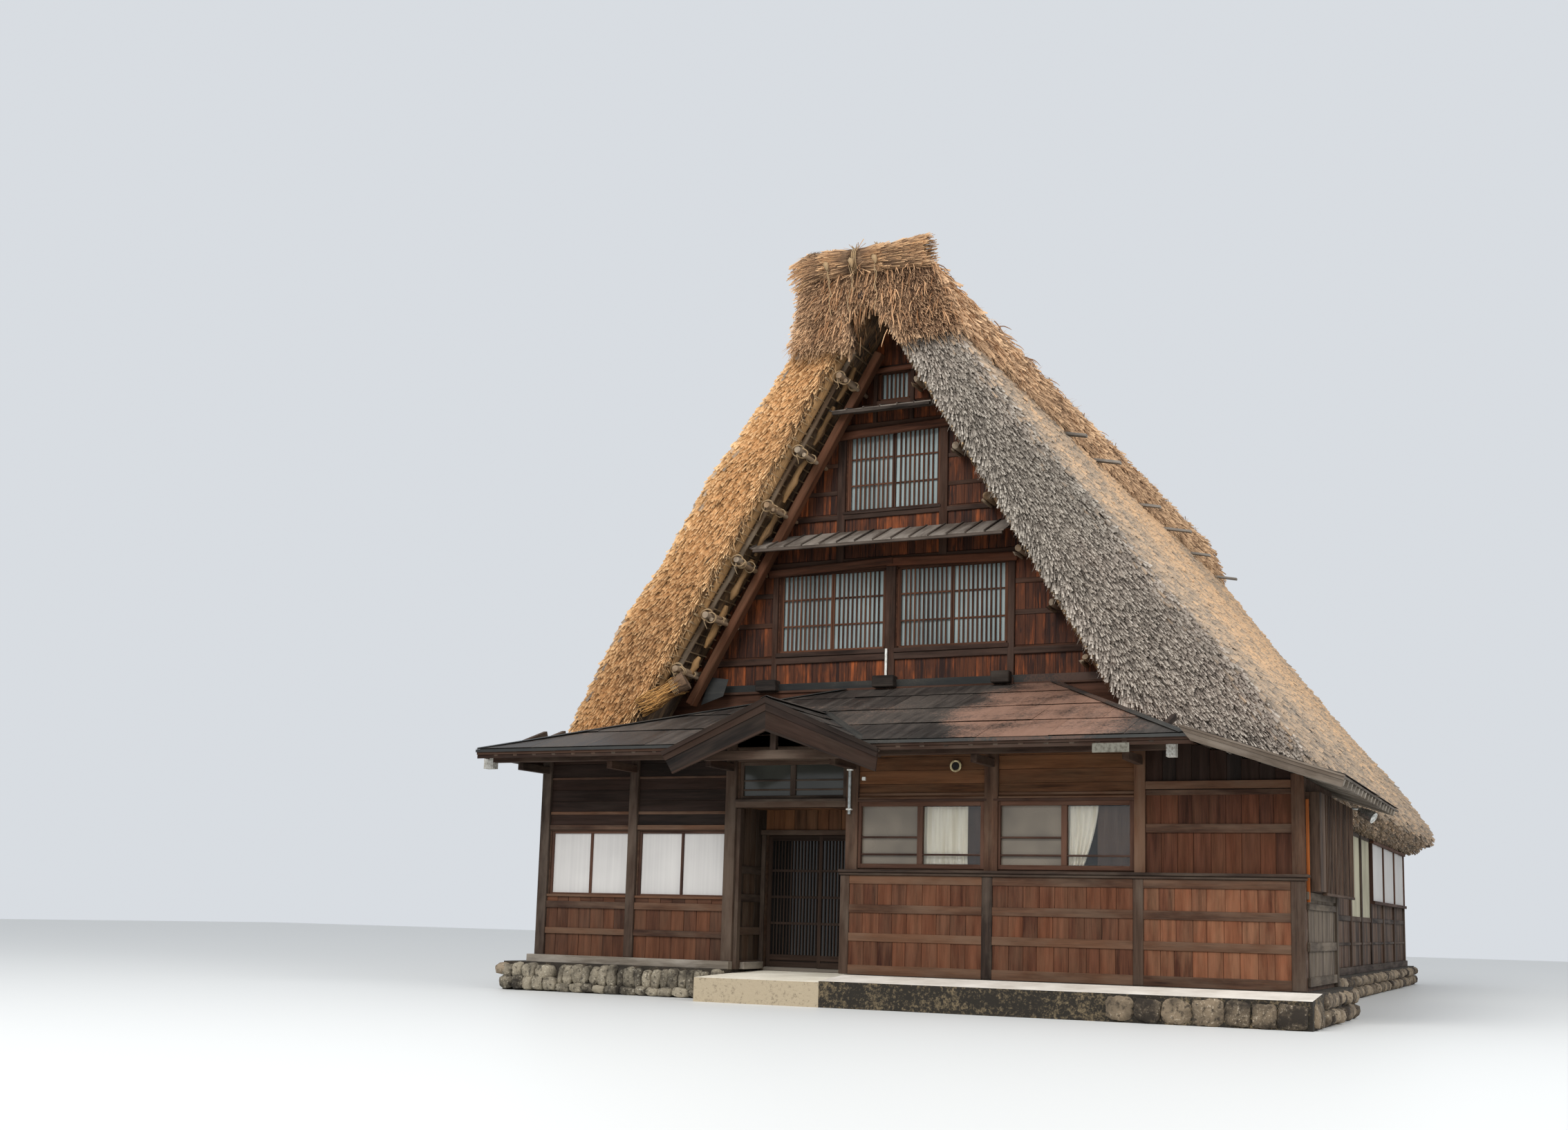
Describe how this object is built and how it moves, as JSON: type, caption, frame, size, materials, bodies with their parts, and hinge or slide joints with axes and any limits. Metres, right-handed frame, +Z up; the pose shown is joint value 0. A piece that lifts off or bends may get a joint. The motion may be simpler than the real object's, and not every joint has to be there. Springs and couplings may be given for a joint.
{
  "type": "thatched minka farmhouse",
  "caption": "Japanese farmhouse with a steep thatched gable roof, boarded walls, a sheet pent roof, and a small hood over a recessed entrance with sliding doors.",
  "frame": {"origin": "on the ground under the outer corner of the front left corner post, at the underside of the stone base", "axes": "+Z up, +Y from the front gable to the back, +X to the right along the front wall as seen from outside"},
  "size_m": [11.11, 20.155, 10.17],
  "materials": {
    "dark_post": "smoke-dark cedar and chestnut posts and beams, dull, open grain",
    "wall_board": "brown cedar boards, dull, with grain and rain streaks",
    "gable_board": "reddish brown cedar boards, dull",
    "grey_wood": "weathered silver-grey cedar, rough",
    "thatch": "weathered reed thatch, very rough",
    "new_straw": "fresh golden straw and straw rope, rough",
    "sheet_roof": "dark painted steel sheet, satin, faded in patches",
    "stone": "rough grey stone",
    "concrete": "pale worn concrete with a rough face",
    "shoji": "white paper on a thin wooden lattice",
    "lattice": "pale strips over blue-grey paper",
    "frosted_pane": "frosted glass in dark wooden sashes",
    "floor_board": "planed floor boards, worn satin"
  },
  "bodies": {
    "house": {"stone_base": "stone", "door_landing": "concrete", "front_slab": "concrete", "ground_floor": "floor_board", "second_floor": "floor_board", "third_floor": "floor_board", "attic_floor": "floor_board", "front_frame_left": "dark_post", "front_frame_right": "dark_post", "wainscot_frame": "dark_post", "front_wall_left": "wall_board", "front_wall_right": "wall_board", "shoji_window_1": "shoji", "shoji_window_2": "shoji", "sash_window_1": "frosted_pane", "sash_window_2": "frosted_pane", "porch_left_wall": "wall_board", "porch_right_wall": "wall_board", "door_head_wall": "wall_board", "transom_wall": "dark_post", "transom_window": "frosted_pane", "door_threshold": "dark_post", "left_wall": "wall_board", "right_wall": "wall_board", "right_shoji_row": "shoji", "left_shoji_row": "shoji", "lean_to_side_wall": "wall_board", "shutter_box": "grey_wood", "back_wall": "wall_board", "back_window_1": "frosted_pane", "back_window_2": "frosted_pane", "front_gable_wall": "gable_board", "back_gable_wall": "gable_board", "front_lattice_second_1": "lattice", "front_lattice_second_2": "lattice", "front_lattice_third": "lattice", "front_lattice_attic": "lattice", "back_lattice_second": "lattice", "back_lattice_third": "lattice", "gable_frame_front": "dark_post", "gable_frame_back": "dark_post", "roof_frame_front": "dark_post", "roof_frame_back": "dark_post", "middle_hisashi_front": "grey_wood", "middle_hisashi_back": "grey_wood", "top_hisashi_front": "grey_wood", "hood_roof": "sheet_roof", "hood_bargeboards": "grey_wood", "pent_roof_front": "sheet_roof", "eave_purlin": "grey_wood", "pent_roof_back": "sheet_roof", "lean_to_roof": "sheet_roof", "lean_to_verge_board": "grey_wood", "thatch_left": "thatch", "thatch_right": "thatch", "ridge_cap": "new_straw"},
    "left_door": {"door_leaf_left": "dark_post"},
    "right_door": {"door_leaf_right": "dark_post"}
  },
  "joints": [
    {"name": "left_door_slide", "type": "slide", "parent": "house", "child": "left_door", "axis": [1, 0, 0], "range_m": [0, 0.748]},
    {"name": "right_door_slide", "type": "slide", "parent": "house", "child": "right_door", "axis": [-1, 0, 0], "range_m": [0, 0.748]}
  ]
}
